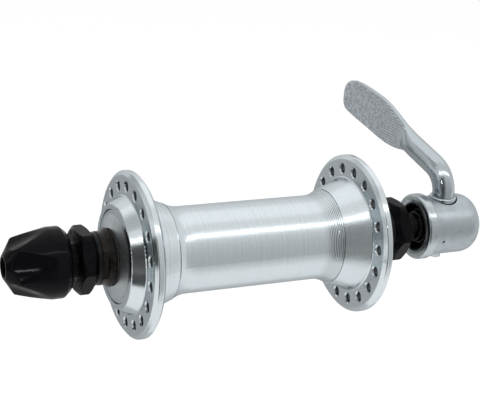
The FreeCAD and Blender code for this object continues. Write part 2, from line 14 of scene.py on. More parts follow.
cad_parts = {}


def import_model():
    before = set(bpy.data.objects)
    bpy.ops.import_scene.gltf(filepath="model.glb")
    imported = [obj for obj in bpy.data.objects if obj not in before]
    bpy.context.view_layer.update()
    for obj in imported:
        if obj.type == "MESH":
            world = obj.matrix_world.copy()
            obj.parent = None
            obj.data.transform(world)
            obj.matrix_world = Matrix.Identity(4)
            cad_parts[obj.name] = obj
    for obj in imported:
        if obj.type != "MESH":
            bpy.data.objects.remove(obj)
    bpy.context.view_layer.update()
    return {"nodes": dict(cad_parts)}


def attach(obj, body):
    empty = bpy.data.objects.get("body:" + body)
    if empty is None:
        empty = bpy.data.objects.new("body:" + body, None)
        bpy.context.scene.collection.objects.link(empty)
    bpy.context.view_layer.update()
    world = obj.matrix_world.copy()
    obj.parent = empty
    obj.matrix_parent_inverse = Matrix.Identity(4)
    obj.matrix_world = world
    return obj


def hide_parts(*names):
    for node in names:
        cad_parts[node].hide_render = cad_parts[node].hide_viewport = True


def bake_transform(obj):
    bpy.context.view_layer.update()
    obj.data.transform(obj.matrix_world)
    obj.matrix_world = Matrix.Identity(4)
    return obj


LOG = logging.getLogger("front_hub")

MM = 0.001
PER_METRE = 1000.0
FULL_TURN = 2 * math.pi

Colour = tuple[float, float, float]
Span = tuple[float, float]
Band = tuple[Span, Span]
Number = Union[float, "Value"]
Stops = Sequence[tuple[float, Colour]]
Profile = Sequence[tuple[float, float]]
Fields = Optional[Mapping[Any, Any]]

# The direction along the axle.
ALONG = Vector((0.0, 1.0, 0.0))

# Where the lever's shaft stands along the axle, and how far the closed lever is turned.
LEVER_SHAFT_Y = 64.8
LEVER_LEAN = 8.0
LEVER_TURN = 180.0 + LEVER_LEAN

# How much a lathe's line moves along the axle for each millimetre out from it.
LATHE_SLOPE = 1.37
PLATED_TINT: Colour = (0.75, 0.77, 0.78)


class Body(Enum):
    """The bodies that the scene's own pieces move with."""

    AXLE = "axle"
    SEAT = "skewer_seat"
    LEVER = "lever"
    NUT = "nut"


class Slot(Enum):
    """The record's material slots, by name; no piece here is given one."""

    LEVER = "lever"
    NUT = "nut"
    SPRING = "spring"


class Value:
    """A shader socket that takes part in Python expressions."""

    def __init__(self, graph: "Graph", socket: NodeSocket) -> None:
        """Keep the socket and the graph that its maths nodes go into."""
        self.graph = graph
        self.socket = socket

    def __add__(self, other: Number) -> "Value":
        """Add."""
        return self.graph.math("ADD", self, other)

    __radd__ = __add__

    def __sub__(self, other: Number) -> "Value":
        """Subtract."""
        return self.graph.math("SUBTRACT", self, other)

    def __rsub__(self, other: Number) -> "Value":
        """Subtract from a number."""
        return self.graph.math("SUBTRACT", other, self)

    def __mul__(self, other: Number) -> "Value":
        """Multiply."""
        return self.graph.math("MULTIPLY", self, other)

    __rmul__ = __mul__

    def __abs__(self) -> "Value":
        """Leave the sign out."""
        return self.graph.math("ABSOLUTE", self)


class Graph:
    """A material's node tree, ending in one Principled shader."""

    def __init__(self, name: str) -> None:
        """Start a material of that name with its Principled shader alone."""
        self.material = bpy.data.materials.new(name)
        self.material.use_nodes = True
        self.tree = self.material.node_tree
        self.tree.nodes.clear()
        self.shader = self.node("ShaderNodeBsdfPrincipled")
        self.surface(self.shader.outputs["BSDF"])

    def surface(self, socket: NodeSocket) -> None:
        """Send a shader to the material's output."""
        for old in [n for n in self.tree.nodes if n.bl_idname == "ShaderNodeOutputMaterial"]:
            self.tree.nodes.remove(old)
        self.node("ShaderNodeOutputMaterial", {"Surface": socket})

    def node(self, kind: str, inputs: Fields = None, settings: Fields = None) -> Node:
        """Add a node.

        Args:
            kind: the node's type.
            inputs: values or links for its sockets, by name or number.
            settings: properties that are set first.

        Returns:
            The node.
        """
        made = self.tree.nodes.new(kind)
        for key, value in (settings or {}).items():
            setattr(made, key, value)
        for key, value in (inputs or {}).items():
            self.feed(made.inputs[key], value)
        return made

    def feed(self, socket: NodeSocket, value: Any) -> None:
        """Link a value to a socket, or set the socket to a plain number or colour."""
        source = value.socket if isinstance(value, Value) else value
        if isinstance(source, NodeSocket):
            self.tree.links.new(source, socket)
        else:
            socket.default_value = source

    def result(self, kind: str, inputs: Fields, settings: Fields = None, output: int = 0) -> Value:
        """Add a node and return one of its outputs."""
        return Value(self, self.node(kind, inputs, settings).outputs[output])

    def math(self, operation: str, a: Number, b: Number = 0.0) -> Value:
        """Add a Math node and return its result."""
        return self.result("ShaderNodeMath", {0: a, 1: b}, {"operation": operation})

    def wave(self, along: Value, pitch: float) -> Value:
        """A sine from -1 to 1 that comes back after each pitch."""
        return self.math("SINE", along * (FULL_TURN / pitch))

    def coords(self) -> NodeSocket:
        """The point's place on the object, in metres."""
        return self.node("ShaderNodeTexCoord").outputs["Object"]

    def place(self) -> tuple[Value, Value, Value]:
        """The point's place on the object, in millimetres along X, Y and Z."""
        return self.split(self.coords())

    def spot(self) -> Value:
        """The point's place on the object as one vector, in millimetres."""
        return self.join(*self.place())

    def split(self, vector: NodeSocket) -> tuple[Value, Value, Value]:
        """A vector's parts, in millimetres where it was in metres."""
        parts = self.node("ShaderNodeSeparateXYZ", {0: vector}).outputs
        return tuple(Value(self, part) * PER_METRE for part in parts)

    def join(self, x: Number, y: Number, z: Number) -> Value:
        """A vector from three numbers."""
        return self.result("ShaderNodeCombineXYZ", {0: x, 1: y, 2: z})

    def turned(self, x: Value, y: Value, z: Value) -> tuple[Value, Value]:
        """The distance from the axle, and the place across the lines that a lathe leaves."""
        radius = self.math("SQRT", x * x + z * z)
        return radius, y + radius * LATHE_SLOPE

    def step(self, value: Number, low: float, high: float) -> Value:
        """A smooth step from 0 at low to 1 at high."""
        return self.result(
            "ShaderNodeMapRange",
            {"Value": value, "From Min": low, "From Max": high},
            {"interpolation_type": "SMOOTHSTEP"},
        )

    def band(self, value: Number, edges: Band) -> Value:
        """1 between a smooth rise and a smooth fall, and 0 outside them."""
        rise, fall = edges
        return self.step(value, *rise) * (1.0 - self.step(value, *fall))

    def lines(self, along: Value, pitch: float, detail: float = 2.0) -> Value:
        """Uneven lines across one direction, from 0 to 1, of a usual pitch in millimetres."""
        return self.result(
            "ShaderNodeTexNoise",
            {"W": along, "Scale": 1.0 / pitch, "Detail": detail, "Roughness": 0.6},
            {"noise_dimensions": "1D"},
        )

    def speckle(self, vector: Value, size: float, detail: float = 3.0) -> Value:
        """Soft irregular patches, from 0 to 1, of about one size in millimetres."""
        return self.result(
            "ShaderNodeTexNoise",
            {"Vector": vector, "Scale": 1.0 / size, "Detail": detail, "Roughness": 0.55},
            {"noise_dimensions": "3D"},
        )

    def ramp(self, share: Value, stops: Stops) -> Value:
        """A colour that runs through stops as a share goes from 0 to 1."""
        made = self.node("ShaderNodeValToRGB", {0: share})
        elements = made.color_ramp.elements
        while len(elements) > 1:
            elements.remove(elements[-1])
        for i, (place, colour) in enumerate(stops):
            stop = elements[0] if i == 0 else elements.new(place)
            stop.position = place
            stop.color = rgba(colour)
        return Value(self, made.outputs[0])

    def blend(self, share: Number, first: Any, second: Any) -> Value:
        """Mix two colours."""
        inputs = {0: share, 6: first, 7: second}
        return self.result("ShaderNodeMix", inputs, {"data_type": "RGBA"}, output=2)

    def bump(self, height: Value, depth: float, below: Optional[Value] = None) -> Value:
        """Turn a height from 0 to 1 into a normal.

        Args:
            height: the height.
            depth: what 1 stands for, in millimetres.
            below: a normal that this one is added to.

        Returns:
            The normal.
        """
        inputs = {"Height": height, "Distance": depth * MM, "Strength": 1.0}
        if below is not None:
            inputs["Normal"] = below
        return self.result("ShaderNodeBump", inputs)

    def dress(self, **sockets: Any) -> Material:
        """Set the Principled shader's sockets and return the material."""
        for key, value in sockets.items():
            name = key.replace("_", " ").title().replace("Ior", "IOR")
            self.feed(self.shader.inputs[name], value)
        return self.material


def rgba(colour: Colour) -> tuple[float, float, float, float]:
    """A colour with full alpha."""
    return (*colour, 1.0)


def grey(level: float) -> Colour:
    """A grey of one level."""
    return (level, level, level)


def greys(*levels: tuple[float, float]) -> Stops:
    """Colour stops from pairs of place and grey level."""
    return tuple((place, grey(level)) for place, level in levels)


class Finish(Protocol):
    """A finish that builds its own material."""

    def make(self) -> Material:
        """Build the material."""


@dataclass(frozen=True)
class LatheLines:
    """Lines that a lathe leaves, with pitch and depth in millimetres.

    Polishing takes a share of their depth off, and a flange's faced side adds a share.
    """

    pitch: float
    depth: float
    detail: float
    polished: float
    faced: float


@dataclass(frozen=True)
class TurnedAluminium:
    """The shell's finish: turned barrel and shoulders, polished flanges and bosses, with painted
    shade in the spoke holes and in the flare's grooves.

    Places are in millimetres: polish, flare and hole_along along the axle, face and hole_out
    out from it.
    """

    name: str = "turned_aluminium"
    colour: Colour = (0.66, 0.715, 0.74)
    second: Colour = (0.46, 0.51, 0.54)
    painted_hole_shade: Colour = (0.16, 0.17, 0.18)
    painted_groove_shade: Colour = (0.20, 0.22, 0.23)
    tint: Colour = (0.72, 0.74, 0.75)
    turned_rough: float = 0.23
    polished_rough: float = 0.16
    hole_rough: float = 0.25
    polish: Span = (31.7, 32.1)
    tool: LatheLines = LatheLines(0.42, 0.010, 3.0, 0.6, 1.2)
    fine: LatheLines = LatheLines(0.16, 0.009, 1.0, 0.45, 1.6)
    face: Band = ((16.4, 16.9), (21.5, 21.9))
    marks_edge: Span = (0.30, 0.70)
    marks_turned: float = 0.26
    marks_polished: float = 0.13
    flare: Band = ((18.5, 22.0), (24.4, 24.55))
    flare_pitch: float = 0.46
    flare_depth: float = 0.0225
    groove_shade_share: float = 0.55
    grain_size: float = 0.55
    grain_squeeze: float = 2.2
    grain_depth: float = 0.010
    grain_polished: float = 0.6
    grain_share: float = 0.35
    smudge_size: float = 4.0
    smudge_rough: float = 0.06
    smudge_share: float = 0.15
    hole_along: Band = ((32.4, 32.65), (34.95, 35.2))
    hole_out: Band = ((16.9, 17.2), (21.0, 21.3))

    def make(self) -> Material:
        """Build the material."""
        g = Graph(self.name)
        x, y, z = g.place()
        side = abs(y)
        radius, across = g.turned(x, y, z)
        polished = g.step(side, *self.polish)
        face = polished * g.band(radius, self.face)
        tool = g.lines(across, self.tool.pitch, self.tool.detail)
        fine = g.lines(across, self.fine.pitch, self.fine.detail)
        flare = g.band(y, self.flare)
        thread = g.wave(y, self.flare_pitch)
        smudge = g.speckle(g.join(x, y, z), self.smudge_size)
        grain = g.speckle(g.join(x, y * self.grain_squeeze, z), self.grain_size, detail=2.0)
        normal = None
        for height, lines in ((tool, self.tool), (fine, self.fine)):
            left = 1.0 - polished * lines.polished + face * lines.faced
            normal = g.bump(height * left, lines.depth, normal)
        normal = g.bump(thread * flare, self.flare_depth, normal)
        normal = g.bump(grain * (1.0 - polished * self.grain_polished), self.grain_depth, normal)
        hole = g.band(side, self.hole_along) * g.band(radius, self.hole_out)
        rough = self.turned_rough + (self.polished_rough - self.turned_rough) * polished
        rough = rough + (smudge - 0.5) * self.smudge_rough + hole * self.hole_rough
        marks = g.step(tool, *self.marks_edge)
        marks = marks * (self.marks_turned - polished * self.marks_polished)
        worn = smudge * self.smudge_share + marks + grain * self.grain_share
        tone = g.blend(worn, rgba(self.colour), rgba(self.second))
        # Painted shade: the flare's groove bottoms are darkened in colour, as if in shadow.
        tone = g.blend(flare * (0.5 - thread * 0.5) * self.groove_shade_share, tone, rgba(self.painted_groove_shade))
        # Painted shade: the spoke holes' walls are darkened in colour, as if in shadow.
        tone = g.blend(hole, tone, rgba(self.painted_hole_shade))
        return g.dress(
            base_color=tone, metallic=1.0, roughness=rough, normal=normal,
            specular_tint=rgba(self.tint),
        )


@dataclass(frozen=True)
class SteelFinish:
    """A metal finish with fine lines round the axle, faint mottling and painted shade in its bore.
    """

    name: str
    colour: Colour
    second: Colour
    rough: float
    metallic: float = 1.0
    line_pitch: float = 0.2
    line_depth: float = 0.004
    patch_size: float = 2.2
    patch_edge: Span = (0.35, 0.7)
    patch_rough: float = 0.12
    grain_size: float = 0.5
    grain_depth: float = 0.0
    sheen: float = 0.15
    bore_r: float = 0.0
    bore_soft: float = 0.13
    bore_rough: float = 0.2
    bore_shade: Colour = (0.012, 0.012, 0.013)

    def make(self) -> Material:
        """Build the material."""
        g = Graph(self.name)
        x, y, z = g.place()
        spot = g.join(x, y, z)
        radius, across = g.turned(x, y, z)
        patch = g.speckle(spot, self.patch_size)
        normal = g.bump(g.lines(across, self.line_pitch), self.line_depth)
        if self.grain_depth:
            grain = g.speckle(spot, self.grain_size, detail=2.0)
            normal = g.bump(grain, self.grain_depth, normal)
        tone = g.blend(g.step(patch, *self.patch_edge), rgba(self.colour), rgba(self.second))
        rough = self.rough + (patch - 0.5) * self.patch_rough
        if self.bore_r:
            # Painted shade: inside bore_r the colour is darkened, as if the bore lay in shadow.
            bore = 1.0 - g.step(radius, self.bore_r, self.bore_r + self.bore_soft)
            tone = g.blend(bore, tone, rgba(self.bore_shade))
            rough = rough + bore * self.bore_rough
        return g.dress(
            base_color=tone, metallic=self.metallic, roughness=rough, normal=normal,
            specular_ior_level=self.sheen, specular_tint=rgba(PLATED_TINT),
        )


@dataclass(frozen=True)
class MouldedBlack:
    """Glossy black moulded plastic of the adjusting nut."""

    name: str = "moulded_black"
    colour: Colour = (0.002, 0.002, 0.003)
    second: Colour = (0.004, 0.004, 0.005)
    rough: float = 0.12
    rough_spread: float = 0.08
    sheen: float = 0.06
    wave_size: float = 3.0
    wave_depth: float = 0.03
    grain_size: float = 0.35
    grain_depth: float = 0.004

    def make(self) -> Material:
        """Build the material."""
        g = Graph(self.name)
        spot = g.spot()
        wave = g.speckle(spot, self.wave_size, detail=1.0)
        grain = g.speckle(spot, self.grain_size, detail=2.0)
        normal = g.bump(grain, self.grain_depth, g.bump(wave, self.wave_depth))
        tone = g.blend(wave, rgba(self.colour), rgba(self.second))
        rough = self.rough + (grain - 0.5) * self.rough_spread
        return g.dress(
            base_color=tone, roughness=rough, normal=normal, specular_ior_level=self.sheen
        )


@dataclass(frozen=True)
class ForgedLever:
    """Plated lever: bright arm, and a pebbled paddle with fine grip ribs towards the neck, with
    painted shade in the pebble's pits and between the ribs.

    Places are in millimetres from the shaft, deep across the lever and reach along it.
    """

    name: str = "forged_lever"
    colour: Colour = (0.42, 0.465, 0.49)
    raised: Colour = (0.72, 0.775, 0.82)
    sunk_shade: Colour = (0.29, 0.32, 0.345)
    rough: float = 0.16
    face_rough: float = 0.36
    cast_rough: float = 0.12
    face_deep: Band = ((0.80, 0.94), (1.12, 1.5))
    face_reach: Span = (18.6, 19.8)
    cast_size: float = 1.1
    cast_depth: float = 0.05
    pebble_size: float = 0.62
    pebble_depth: float = 0.045
    pebble_arm: float = 0.2
    pebble_edge: Span = (0.36, 0.64)
    pit_share: float = 0.60
    pit_ribbed: float = 0.30
    rib_pitch: float = 0.80
    rib_depth: float = 0.055
    rib_share: float = 0.5
    rib_reach: Span = (30.0, 36.0)

    def make(self) -> Material:
        """Build the material."""
        g = Graph(self.name)
        mapped = g.node(
            "ShaderNodeMapping",
            {
                "Vector": g.coords(),
                "Location": (0.0, LEVER_SHAFT_Y * MM, 0.0),
                "Rotation": (0.0, 0.0, math.radians(LEVER_TURN)),
            },
            {"vector_type": "TEXTURE"},
        )
        reach, deep, high = g.split(mapped.outputs[0])
        spot = g.join(reach, deep, high)
        face = g.band(deep, self.face_deep) * g.step(reach, *self.face_reach)
        ribbed = face * (1.0 - g.step(reach, *self.rib_reach))
        ribs = g.wave(high, self.rib_pitch) * 0.5 + 0.5
        pebble = g.speckle(spot, self.pebble_size, detail=2.0)
        cast = g.speckle(spot, self.cast_size)
        pebbled = self.pebble_arm + face * (1.0 - self.pebble_arm)
        normal = g.bump(cast, self.cast_depth)
        normal = g.bump(ribs * ribbed, self.rib_depth, normal)
        normal = g.bump(pebble * pebbled, self.pebble_depth, normal)
        pits = 1.0 - g.step(pebble, *self.pebble_edge)
        pits = pits * (self.pit_share - ribbed * self.pit_ribbed)
        # Painted shade: the pebble's pits and the hollows between the ribs are darkened in colour.
        hollow = pits + ribbed * (1.0 - ribs) * self.rib_share
        tone = g.blend(hollow, rgba(self.raised), rgba(self.sunk_shade))
        tone = g.blend(face, rgba(self.colour), tone)
        rough = self.rough + face * (self.face_rough - self.rough) + (cast - 0.5) * self.cast_rough
        return g.dress(
            base_color=tone, metallic=1.0, roughness=rough, normal=normal,
            specular_tint=rgba(PLATED_TINT),
        )


@dataclass(frozen=True)
class SealRubber:
    """Matt black rubber."""

    name: str = "seal_rubber"
    dark: float = 0.012
    light: float = 0.03
    rough: float = 0.7
    rough_spread: float = 0.2
    grain_size: float = 0.4
    grain_depth: float = 0.01

    def make(self) -> Material:
        """Build the material."""
        g = Graph(self.name)
        grain = g.speckle(g.spot(), self.grain_size)
        return g.dress(
            base_color=g.blend(grain, rgba(grey(self.dark)), rgba(grey(self.light))),
            roughness=self.rough + grain * self.rough_spread,
            normal=g.bump(grain, self.grain_depth),
        )


@dataclass
class Camera:
    """The camera at the photograph's angle, from a fit to its spoke holes."""

    azimuth: float = -26.107
    elevation: float = 21.0
    roll: float = 4.930
    distance: float = 354.48
    aside: float = -1.320
    above: float = 9.397
    focal_px: float = 1259.2
    width_px: int = 480
    sensor_mm: float = 36.0
    clip_start: float = 0.01

    def make(self) -> None:
        """Create the camera and make it the scene's own."""
        az, el, roll = (math.radians(a) for a in (self.azimuth, self.elevation, self.roll))
        back = Vector((math.cos(el) * math.cos(az), math.cos(el) * math.sin(az), math.sin(el)))
        right = Vector((0, 0, 1)).cross(back).normalized()
        up = back.cross(right)
        right, up = (
            math.cos(roll) * right + math.sin(roll) * up,
            -math.sin(roll) * right + math.cos(roll) * up,
        )
        data = bpy.data.cameras.new("photo_camera")
        data.sensor_width = self.sensor_mm
        data.lens = self.focal_px * self.sensor_mm / self.width_px
        data.clip_start = self.clip_start
        camera = bpy.data.objects.new("photo_camera", data)
        bpy.context.scene.collection.objects.link(camera)
        place = (right * self.aside + up * self.above + back * self.distance) * MM
        turn = Matrix((right, up, back)).transposed().to_4x4()
        camera.matrix_world = Matrix.Translation(place) @ turn
        bpy.context.scene.camera = camera


def around(degrees: float) -> Vector:
    """The direction out from the axle at an angle from +X towards +Z."""
    a = math.radians(degrees)
    return Vector((math.cos(a), 0.0, math.sin(a)))


@dataclass(frozen=True)
class Card:
    """A glowing sheet beside the object that only its reflections show.

    It runs between two edges, each at an angle in degrees and a distance from the axle, and
    along the axle. Its levels go from the first edge to the second. Those of its left end
    turn into those of its right end over a stretch of the axle. Lengths are in metres.
    """

    name: str
    start: tuple[float, float]
    end: tuple[float, float]
    along: Span
    left: Stops
    right: Stops
    turn: Span = (0.0, 1.0)
    shades: bool = False

    def edges(self) -> tuple[Vector, Vector]:
        """The middles of both edges."""
        return tuple(around(angle) * distance for angle, distance in (self.start, self.end))

    def corners(self) -> list[Vector]:
        """The sheet's four corners."""
        first, last = self.edges()
        near, far = (ALONG * y for y in self.along)
        return [first + near, first + far, last + far, last + near]


@dataclass(frozen=True)
class EndCard:
    """A dark sheet across the axle's line, beyond one end of the object, in metres."""

    name: str
    place: float
    angle: float
    reach: Span
    half: float
    level: float

    def corners(self) -> list[Vector]:
        """The sheet's four corners."""
        side = around(self.angle + 90.0) * self.half
        low, high = (ALONG * self.place + around(self.angle) * reach for reach in self.reach)
        return [low - side, high - side, high + side, low + side]


@dataclass(frozen=True)
class Lamp:
    """A soft rectangular lamp that faces the hub from an angle round the axle, in metres."""

    name: str
    angle: float
    distance: float
    along: float
    wide: float
    long: float
    power: float


@dataclass(frozen=True)
class Floor:
    """The pale floor, which keeps the object's shadow. Lengths are in metres."""

    height: float = -0.42
    half: float = 9.0
    levels: Span = (0.975, 0.985)
    rough: float = 0.9
    patch_mm: float = 60.0

    def corners(self) -> list[Vector]:
        """The floor's four corners."""
        signs = ((-1, -1), (1, -1), (1, 1), (-1, 1))
        return [Vector((i * self.half, j * self.half, self.height)) for i, j in signs]

    def material(self) -> Material:
        """Build the material."""
        g = Graph("pale_floor")
        dark, light = (rgba(grey(level)) for level in self.levels)
        tone = g.blend(g.speckle(g.spot(), self.patch_mm), dark, light)
        return g.dress(base_color=tone, roughness=self.rough, specular_ior_level=0.0)


@dataclass
class Studio:
    """A pale floor, an even white surround, three lamps and the cards that metal mirrors."""

    ground: Floor = Floor()
    lamps: Sequence[Lamp] = (
        Lamp("strip_lamp", 55.0, 0.80, 0.15, 0.05, 1.9, 1.5),
        Lamp("near_lamp", 28.0, 0.56, -0.49, 0.02, 0.07, 0.25),
        Lamp("top_lamp", 112.0, 1.20, 0.20, 1.00, 2.4, 2.0),
    )
    end_card: EndCard = EndCard("end_card", -1.5, 23.0, (-0.75, 0.40), 0.30, 0.03)
    cards: Sequence[Card] = (
        Card(
            "front_card", (-33.0, 0.75), (45.0, 0.75), (-1.1, 1.1),
            greys((0.0, 0.05), (0.16, 0.07), (0.26, 0.20), (0.42, 0.10), (0.8, 0.10), (1.0, 0.2)),
            greys((0.0, 0.62), (0.3, 0.60), (0.55, 0.68), (0.8, 0.80), (1.0, 0.92)),
            (-0.26, 0.10),
        ),
        Card(
            "near_flag", (12.0, 0.10), (44.0, 0.10), (-0.1295, -0.07),
            greys((0.0, 0.07), (1.0, 0.09)),
            greys((0.0, 0.07), (1.0, 0.09)),
            shades=True,
        ),
        Card(
            "crown_card", (78.0, 1.15), (166.0, 1.15), (-1.9, -0.36),
            greys((0.0, 0.66), (0.37, 0.58), (0.5, 0.88), (0.64, 0.84), (0.8, 0.60), (1.0, 0.40)),
            greys((0.0, 1.0), (1.0, 1.0)),
            (-0.45, -0.35),
        ),
        Card(
            "foot_card", (-46.0, 0.56), (-33.2, 0.74), (-1.1, 1.1),
            greys((0.0, 0.08), (1.0, 0.05)),
            greys((0.0, 0.95), (1.0, 0.90)),
            (-0.25, -0.05),
        ),
        Card(
            "low_card", (-162.0, 1.31), (-104.0, 0.42), (-2.2, 1.6),
            greys((0.0, 0.50), (0.5, 0.52), (1.0, 0.68)),
            greys((0.0, 0.42), (0.6, 0.50), (1.0, 0.90)),
            (-0.2, 0.35),
        ),
        Card(
            "back_card", (160.0, 1.30), (197.9, 1.31), (-2.2, 1.6),
            greys((0.0, 0.75), (0.5, 0.34), (1.0, 0.17)),
            greys((0.0, 0.95), (0.6, 0.85), (1.0, 0.60)),
            (-1.5, -0.5),
        ),
    )

    def make(self) -> None:
        """Build the studio."""
        bpy.context.scene.view_settings.view_transform = "Standard"
        self.surround()
        floor = self.sheet("floor", self.ground.corners())
        floor.data.materials.append(self.ground.material())
        for lamp in self.lamps:
            self.light(lamp)
        for card in self.cards:
            self.hang(card)
        self.hang_end(self.end_card)
        Camera().make()

    @staticmethod
    def surround() -> None:
        """An even white surround."""
        world = bpy.data.worlds.new("white_surround")
        world.use_nodes = True
        sockets = world.node_tree.nodes["Background"].inputs
        sockets[0].default_value = rgba(grey(1.0))
        sockets[1].default_value = 1.0
        bpy.context.scene.world = world

    @staticmethod
    def sheet(name: str, corners: Sequence[Vector]) -> Object:
        """A flat stage sheet through four corners."""
        mesh = bpy.data.meshes.new(name)
        bm = bmesh.new()
        bm.faces.new([bm.verts.new(c) for c in corners])
        bm.to_mesh(mesh)
        bm.free()
        made = bpy.data.objects.new(name, mesh)
        bpy.context.scene.collection.objects.link(made)
        return made

    @staticmethod
    def light(lamp: Lamp) -> None:
        """Put one lamp in its place."""
        data = bpy.data.lights.new(lamp.name, "AREA")
        data.shape = "RECTANGLE"
        data.size, data.size_y = lamp.wide, lamp.long
        data.energy = lamp.power
        made = bpy.data.objects.new(lamp.name, data)
        bpy.context.scene.collection.objects.link(made)
        out = around(lamp.angle)
        turn = Matrix((ALONG.cross(out), ALONG, out)).transposed().to_4x4()
        place = out * lamp.distance + ALONG * lamp.along
        made.matrix_world = Matrix.Translation(place) @ turn

    @staticmethod
    def glow(made: Object, g: Graph, tone: Any, shades: bool = False) -> None:
        """Let a sheet glow for reflections alone.

        Args:
            made: the sheet.
            g: its material's graph.
            tone: the colour it glows with.
            shades: whether it also keeps lamps off what lies behind it.
        """
        g.surface(g.node("ShaderNodeEmission", {0: tone, 1: 1.0}).outputs[0])
        made.data.materials.append(g.material)
        made.visible_camera = made.visible_diffuse = False
        made.visible_shadow = shades

    def hang(self, card: Card) -> None:
        """Hang one card beside the object."""
        made = self.sheet(card.name, card.corners())
        first, last = card.edges()
        run = last - first
        slope = run / (run.length_squared * PER_METRE)
        g = Graph(card.name)
        x, y, z = g.place()
        share = (x - first.x * PER_METRE) * slope.x + (z - first.z * PER_METRE) * slope.z
        low, high = (place * PER_METRE for place in card.turn)
        left, right = (g.ramp(share, stops) for stops in (card.left, card.right))
        self.glow(made, g, g.blend(g.step(y, low, high), left, right), card.shades)

    def hang_end(self, card: EndCard) -> None:
        """Hang the card beyond the object's end."""
        made = self.sheet(card.name, card.corners())
        self.glow(made, Graph(card.name), rgba(grey(card.level)))


def soft_least(a: float, b: float, soft: float) -> float:
    """The lesser of two lengths, with the crossing rounded over about soft millimetres."""
    share = max(soft - abs(a - b), 0.0) / soft
    return min(a, b) - share * share * soft / 4


def rounded(
    corners: Sequence[tuple[float, float, float]], spacing: float, bend: float = 9.0
) -> list[tuple[float, float]]:
    """A profile with its corners rounded and its long sides split.

    Args:
        corners: radius, height and rounding of each corner.
        spacing: the greatest distance between points on a straight stretch.
        bend: the greatest turn between points on a rounding, in degrees.

    Returns:
        Pairs of radius and height.
    """
    marks: list[Vector] = []
    for i, (r, z, ease) in enumerate(corners):
        here = Vector((r, z))
        if not ease or i in (0, len(corners) - 1):
            marks.append(here)
            continue
        back = (Vector(corners[i - 1][:2]) - here).normalized()
        ahead = (Vector(corners[i + 1][:2]) - here).normalized()
        half = back.angle(ahead) / 2
        run = ease / math.tan(half)
        centre = here + (back + ahead).normalized() * (ease / math.sin(half))
        first, last = here + back * run - centre, here + ahead * run - centre
        count = max(3, math.ceil((math.pi - 2 * half) / math.radians(bend)))
        between = [first.slerp(last, k / count) for k in range(1, count)]
        marks += [centre + arm.normalized() * ease for arm in (first, *between, last)]
    points = [tuple(marks[0])]
    for a, b in zip(marks, marks[1:]):
        count = max(1, math.ceil((b - a).length / spacing))
        points += [tuple(a.lerp(b, k / count)) for k in range(1, count + 1)]
    return points


class Builder:
    """A bmesh in millimetres that grows by operators and ends as one dressed piece."""

    MERGE = 1e-4
    INSET = 0.12

    def __init__(self, name: str) -> None:
        """Start an empty piece and keep its name."""
        self.name = name
        self.bm = bmesh.new()

    def spun(self, profile: Profile, steps: int, turn: Optional[Matrix] = None) -> list[Any]:
        """Spin a profile about Z and place the result.

        Args:
            profile: pairs of radius and height.
            steps: the number of steps round the axis.
            turn: where the spun shape goes.

        Returns:
            The new vertices.
        """
        before = set(self.bm.verts)
        verts = [self.bm.verts.new((r, 0.0, z)) for r, z in profile]
        edges = [self.bm.edges.new(pair) for pair in zip(verts, verts[1:])]
        bmesh.ops.spin(
            self.bm, geom=verts + edges, cent=(0, 0, 0), axis=(0, 0, 1), dvec=(0, 0, 0),
            angle=FULL_TURN, steps=steps, use_merge=True, use_duplicate=False,
        )
        found = [v for v in self.bm.verts if v not in before]
        bmesh.ops.remove_doubles(self.bm, verts=found, dist=self.MERGE)
        found = [v for v in found if v.is_valid]
        bmesh.ops.transform(self.bm, matrix=turn or Matrix(), verts=found)
        return found

    def lofted(self, rings: Sequence[Sequence[Vector]]) -> None:
        """Extrude a first ring through the others and close both ends.

        Args:
            rings: rings of equally many points, in order.
        """
        count = len(rings[0])
        circle = bmesh.ops.create_circle(self.bm, cap_ends=False, radius=1.0, segments=count)
        loop = sorted(circle["verts"], key=lambda v: math.atan2(v.co.y, v.co.x) % FULL_TURN)
        self.settle(loop, rings[0])
        self.cap(loop)
        for ring in rings[1:]:
            edges = [self.bm.edges.get(pair) for pair in zip(loop, loop[1:] + loop[:1])]
            made = bmesh.ops.extrude_edge_only(self.bm, edges=edges)["geom"]
            new = {v for v in made if isinstance(v, bmesh.types.BMVert)}
            loop = [
                next(other for other in (e.other_vert(v) for e in v.link_edges) if other in new)
                for v in loop
            ]
            self.settle(loop, ring)
        self.cap(loop)

    @staticmethod
    def settle(loop: Sequence[Any], ring: Sequence[Vector]) -> None:
        """Put a loop's vertices on a ring's points."""
        for vert, place in zip(loop, ring):
            vert.co = place

    def cap(self, loop: Sequence[Any]) -> None:
        """Close a ring of vertices with an inset face."""
        face = self.bm.faces.new(loop)
        bmesh.ops.inset_region(self.bm, faces=[face], thickness=self.INSET, use_even_offset=True)

    def finish(
        self, node: str, body: Optional[Body], material: Material,
        turn: Optional[Matrix] = None,
    ) -> Object:
        """Turn the bmesh into a piece that takes a node's place.

        Args:
            node: the node that it replaces.
            body: the body that it rides, or None where it is left unbound.
            material: its finish.
            turn: where the whole piece goes, in millimetres.

        Returns:
            The piece.
        """
        place = Matrix.Scale(MM, 4) @ (turn or Matrix())
        bmesh.ops.transform(self.bm, matrix=place, verts=self.bm.verts[:])
        bmesh.ops.recalc_face_normals(self.bm, faces=self.bm.faces[:])
        for face in self.bm.faces:
            face.smooth = True
        mesh = bpy.data.meshes.new(self.name)
        self.bm.to_mesh(mesh)
        self.bm.free()
        mesh.materials.append(material)
        piece = bpy.data.objects.new(self.name, mesh)
        bpy.context.scene.collection.objects.link(piece)
        if body:
            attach(piece, body.value)
        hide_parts(node)
        LOG.info("built %s: %d faces", self.name, len(mesh.polygons))
        return piece


